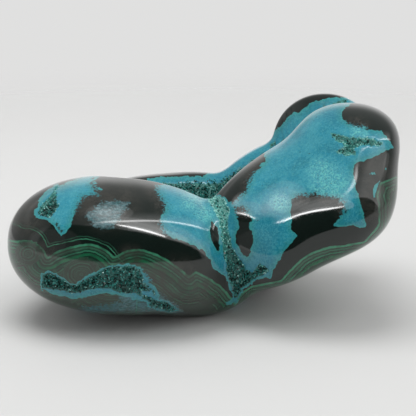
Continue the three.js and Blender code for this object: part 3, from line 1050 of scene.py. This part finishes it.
# The studio: a white tent with a dark opening towards the viewer, a pale sheet that ends a little before the
# stone, and a lamp band overhead between two bright edges. Levels are relative to white.
studio = {
    "floorRadius": 0.6,  # m
    "sheetFront": -0.195,  # m, where the pale sheet ends towards the viewer, as the polish mirrors it
    "paleWall": 0.745,
    "tent": 0.38,
    "tentBehind": 0.55,  # added low down at the back
    "opening": 0.012,
    "openingTop": (0.5, 1.5, 1.0),  # its top edge's plane, which slants down to the right
    "openingSides": 2.8,  # half width over distance
    "lampBand": 1.2,
    "frontEdge": 1.2,
    "farEdge": 9.0,
    "farEdgeThrough": ((36, 72), (97, 46)),  # two directions, azimuth and elevation
    "fill": 1.65,  # how much stronger the tent is for dull surfaces
    "fillFront": 0.7,  # share of the tent that lies over the opening for them
}

# Flat oval lamps: middle, direction of the length, direction they face, length, width (m), level, only
# mirrored. The soft ones are stacked from smaller and smaller ovals.
lamps = {
    "softboxAbove": ((-0.1, 0.0, 0.7), (1, 0, 0), (0.1, 0, -0.7), 0.5, 0.46, 5.0, False),
    "strip": ((0.004, -0.059, 0.071), (48, 2, -19), (14, 31, -36), 0.056, 0.0034, 20.0, True),
    "stripHalo": ((0.004, -0.0585, 0.072), (48, 2, -19), (14, 31, -36), 0.064, 0.008, 1.8, True),
    "stripGlowWide": ((0.006, -0.0535, 0.083), (48, 2, -19), (14, 26, -40), 0.072, 0.030, 0.9, True),
    "stripGlow": ((0.006, -0.054, 0.082), (48, 2, -19), (14, 26, -40), 0.060, 0.021, 0.9, True),
    "stripGlowCore": ((0.006, -0.0545, 0.081), (48, 2, -19), (14, 26, -40), 0.048, 0.013, 0.9, True),
    "glareWide": ((-0.028, -0.030, 0.093), (0.25, 1, 0), (0.05, 0.08, -1), 0.042, 0.034, 0.7, True),
    "glare": ((-0.028, -0.030, 0.092), (0.25, 1, 0), (0.05, 0.08, -1), 0.030, 0.024, 0.9, True),
    "glareCore": ((-0.028, -0.030, 0.091), (0.25, 1, 0), (0.05, 0.08, -1), 0.018, 0.014, 1.4, True),
    "rightGlow": ((0.033, -0.056, 0.064), (20, -10, -6), (-20, 25, -30), 0.028, 0.014, 1.6, True),
    "leftCard": ((-0.185, -0.095, 0.05), (1, 0, 0), (0.5, 1, 0), 0.24, 0.26, 0.16, True),
    "leftCardCore": ((-0.185, -0.094, 0.05), (1, 0, 0), (0.5, 1, 0), 0.17, 0.2, 0.16, True),
    "rightCard": ((0.60, -0.150, 0.1), (1, 0, 0), (-0.5, 1, 0), 0.4, 0.5, 0.45, True),
}


def makeFloor():
    # A flat disc: radius times cosine and sine of the turn.
    turns = np.linspace(0, 2 * math.pi, 96, endpoint=False)
    rim = np.stack([np.cos(turns), np.sin(turns), 0 * turns], -1) * studio["floorRadius"] / millimetre
    points = np.concatenate([[[0, 0, 0]], rim])
    k = np.arange(96)
    faces = np.stack([np.zeros(96, int), k + 1, (k + 1) % 96 + 1], -1)
    floor = buildMesh("pale_floor", points, np.zeros((0, 4), int), faces, False)
    material, tree, shader = newMaterial("paleFloor")
    shader.inputs["Base Color"].default_value = colour(0.61, 0.61, 0.606)
    shader.inputs["Roughness"].default_value = 0.7
    shader.inputs["Specular IOR Level"].default_value = 0.2
    place = addNode(tree, "ShaderNodeTexCoord").outputs["Object"]
    axes = addNode(tree, "ShaderNodeSeparateXYZ", None, {0: place})
    radius = addNode(tree, "ShaderNodeVectorMath", {"operation": "LENGTH"}, {0: place}).outputs["Value"]
    fade = between(tree, radius, 0.22, 0.5)
    rays = addNode(tree, "ShaderNodeLightPath")
    beyond = between(tree, axes.outputs["Y"], studio["sheetFront"] + 0.03, studio["sheetFront"] - 0.03)
    mirrored = times(tree, beyond, rays.outputs["Is Glossy Ray"])
    seeThrough = calc(tree, "MAXIMUM", fade, mirrored)
    clear = addNode(tree, "ShaderNodeBsdfTransparent")
    mix = addNode(tree, "ShaderNodeMixShader", None,
                  {0: seeThrough, 1: shader.outputs[0], 2: clear.outputs[0]})
    tree.links.new(mix.outputs[0], tree.nodes["Material Output"].inputs["Surface"])
    floor.data.materials.append(material)
    return floor


def direction(azimuth, elevation):
    # Azimuth 0 points to the viewer, 90 to the right.
    a, e = math.radians(azimuth), math.radians(elevation)
    return np.array([math.sin(a) * math.cos(e), -math.cos(a) * math.cos(e), math.sin(e)])


def makeWorld():
    world = bpy.data.worlds.new("whiteTent")
    bpy.context.scene.world = world
    world.use_nodes = True
    tree = world.node_tree
    output = tree.nodes["Background"]
    way = addNode(tree, "ShaderNodeTexCoord").outputs["Generated"]
    axes = addNode(tree, "ShaderNodeSeparateXYZ", None, {0: way})
    x, y, z = axes.outputs["X"], axes.outputs["Y"], axes.outputs["Z"]

    # planes through the viewpoint: positive beyond the opening's top edge, and beyond the far lamp edge
    topNormal = np.array(studio["openingTop"])
    topNormal /= np.linalg.norm(topNormal)
    first, second = (direction(*way) for way in studio["farEdgeThrough"])
    farNormal = np.cross(second, first)
    farNormal *= np.sign(farNormal[2]) / np.linalg.norm(farNormal)
    aboveFront = dotWith(tree, way, topNormal)
    beyondFar = dotWith(tree, way, farNormal)
    sideways = calc(tree, "MULTIPLY_ADD", y, studio["openingSides"], calc(tree, "ABSOLUTE", x))
    inOpening = times(tree, between(tree, aboveFront, 0.03, -0.02), between(tree, sideways, 0.1, -0.1))
    behind = times(tree, between(tree, y, 0.0, 0.6), between(tree, z, 0.6, 0.2))
    leftLow = times(tree, between(tree, x, -0.15, -0.4), between(tree, z, 0.45, 0.3))
    behind = times(tree, behind, calc(tree, "SUBTRACT", 1.0, leftLow))
    white = calc(tree, "MULTIPLY_ADD", behind, studio["tentBehind"], studio["tent"])
    frontOnly = between(tree, sideways, 0.35, 0.0)
    inBand = times(tree, between(tree, aboveFront, -0.004, 0.006), between(tree, beyondFar, 0.006, -0.004))
    inBand = times(tree, inBand, frontOnly, between(tree, x, -0.05, 0.25, 0.3, 1.0))
    white = calc(tree, "MULTIPLY_ADD", inBand, studio["lampBand"], white)
    tent = addNode(tree, "ShaderNodeMix", {"data_type": "FLOAT"},
                   {0: inOpening, 2: white, 3: studio["opening"]}).outputs[0]

    # thin bright edges and the glow beyond the far one, only mirrored
    frontEdge = between(tree, calc(tree, "ABSOLUTE", aboveFront), 0.024, 0.008)
    frontEdge = times(tree, frontEdge, times(tree, between(tree, sideways, 0.1, -0.2),
                                             between(tree, x, -0.05, 0.12)))
    farEdge = between(tree, calc(tree, "ABSOLUTE", beyondFar), 0.042, 0.01)
    glow = times(tree, between(tree, beyondFar, 0.34, 0.0, 0.0, 0.14), between(tree, beyondFar, -0.01, 0.01))
    farSide = dotWith(tree, way, (first + second) / np.linalg.norm(first + second))
    farEdge = times(tree, calc(tree, "ADD", farEdge, glow), between(tree, farSide, 0.72, 0.85))
    farEdge = times(tree, farEdge, between(tree, z, 0.5, 0.72))
    mirrored = calc(tree, "MULTIPLY_ADD", frontEdge, studio["frontEdge"], tent)
    mirrored = calc(tree, "MULTIPLY_ADD", farEdge, studio["farEdge"], mirrored)

    rays = addNode(tree, "ShaderNodeLightPath")
    overFront = times(tree, inOpening, studio["fillFront"] * studio["tent"])
    dull = times(tree, calc(tree, "ADD", tent, overFront), studio["fill"])
    level = addNode(tree, "ShaderNodeMix", {"data_type": "FLOAT"},
                    {0: rays.outputs["Is Glossy Ray"], 2: dull, 3: mirrored}).outputs[0]
    level = addNode(tree, "ShaderNodeMix", {"data_type": "FLOAT"},
                    {0: rays.outputs["Is Camera Ray"], 2: level, 3: studio["paleWall"]}).outputs[0]
    tree.links.new(level, output.inputs["Strength"])
    output.inputs["Color"].default_value = colour(1, 1, 0.995)


def addLight(name, middle, along, facing, length, width, level, mirrored):
    # A flat lamp with its length laid along one direction. Level is how bright it looks, in white.
    lamp = bpy.data.lights.new(name, "AREA")
    lamp.shape = "ELLIPSE"
    lamp.size, lamp.size_y = length, width
    lamp.energy = level * math.pi * length * width * math.pi / 4
    holder = bpy.data.objects.new(name, lamp)
    bpy.context.scene.collection.objects.link(holder)
    back = -np.array(facing, float) / np.linalg.norm(facing)
    side = np.array(along, float) - back * (np.array(along, float) @ back)
    side /= np.linalg.norm(side)
    turn = np.stack([side, np.cross(back, side), back], -1)
    holder.location = middle
    holder.rotation_euler = Matrix(turn.tolist()).to_euler()
    holder.visible_camera = False
    holder.visible_glossy = mirrored
    holder.visible_diffuse = not mirrored
    return holder


makeFloor()
makeWorld()
for name, lamp in lamps.items():
    addLight(name, *lamp)


def makeCamera():
    lens = bpy.data.cameras.new("frontCamera")
    lens.lens = frontView["lens"]
    lens.sensor_width = 36
    lens.clip_start, lens.clip_end = 0.01, 10
    camera = bpy.data.objects.new("frontCamera", lens)
    bpy.context.scene.collection.objects.link(camera)
    aim = boxMiddle + np.array(frontView["aim"]) * millimetre
    back = direction(0, frontView["elevation"])
    camera.location = aim + back * frontView["distance"] * millimetre
    camera.rotation_mode = "QUATERNION"
    camera.rotation_quaternion = Vector(-back).to_track_quat("-Z", "Y")
    bpy.context.scene.camera = camera


makeCamera()
bpy.context.scene.view_settings.view_transform = "Standard"
print("studio and camera set")
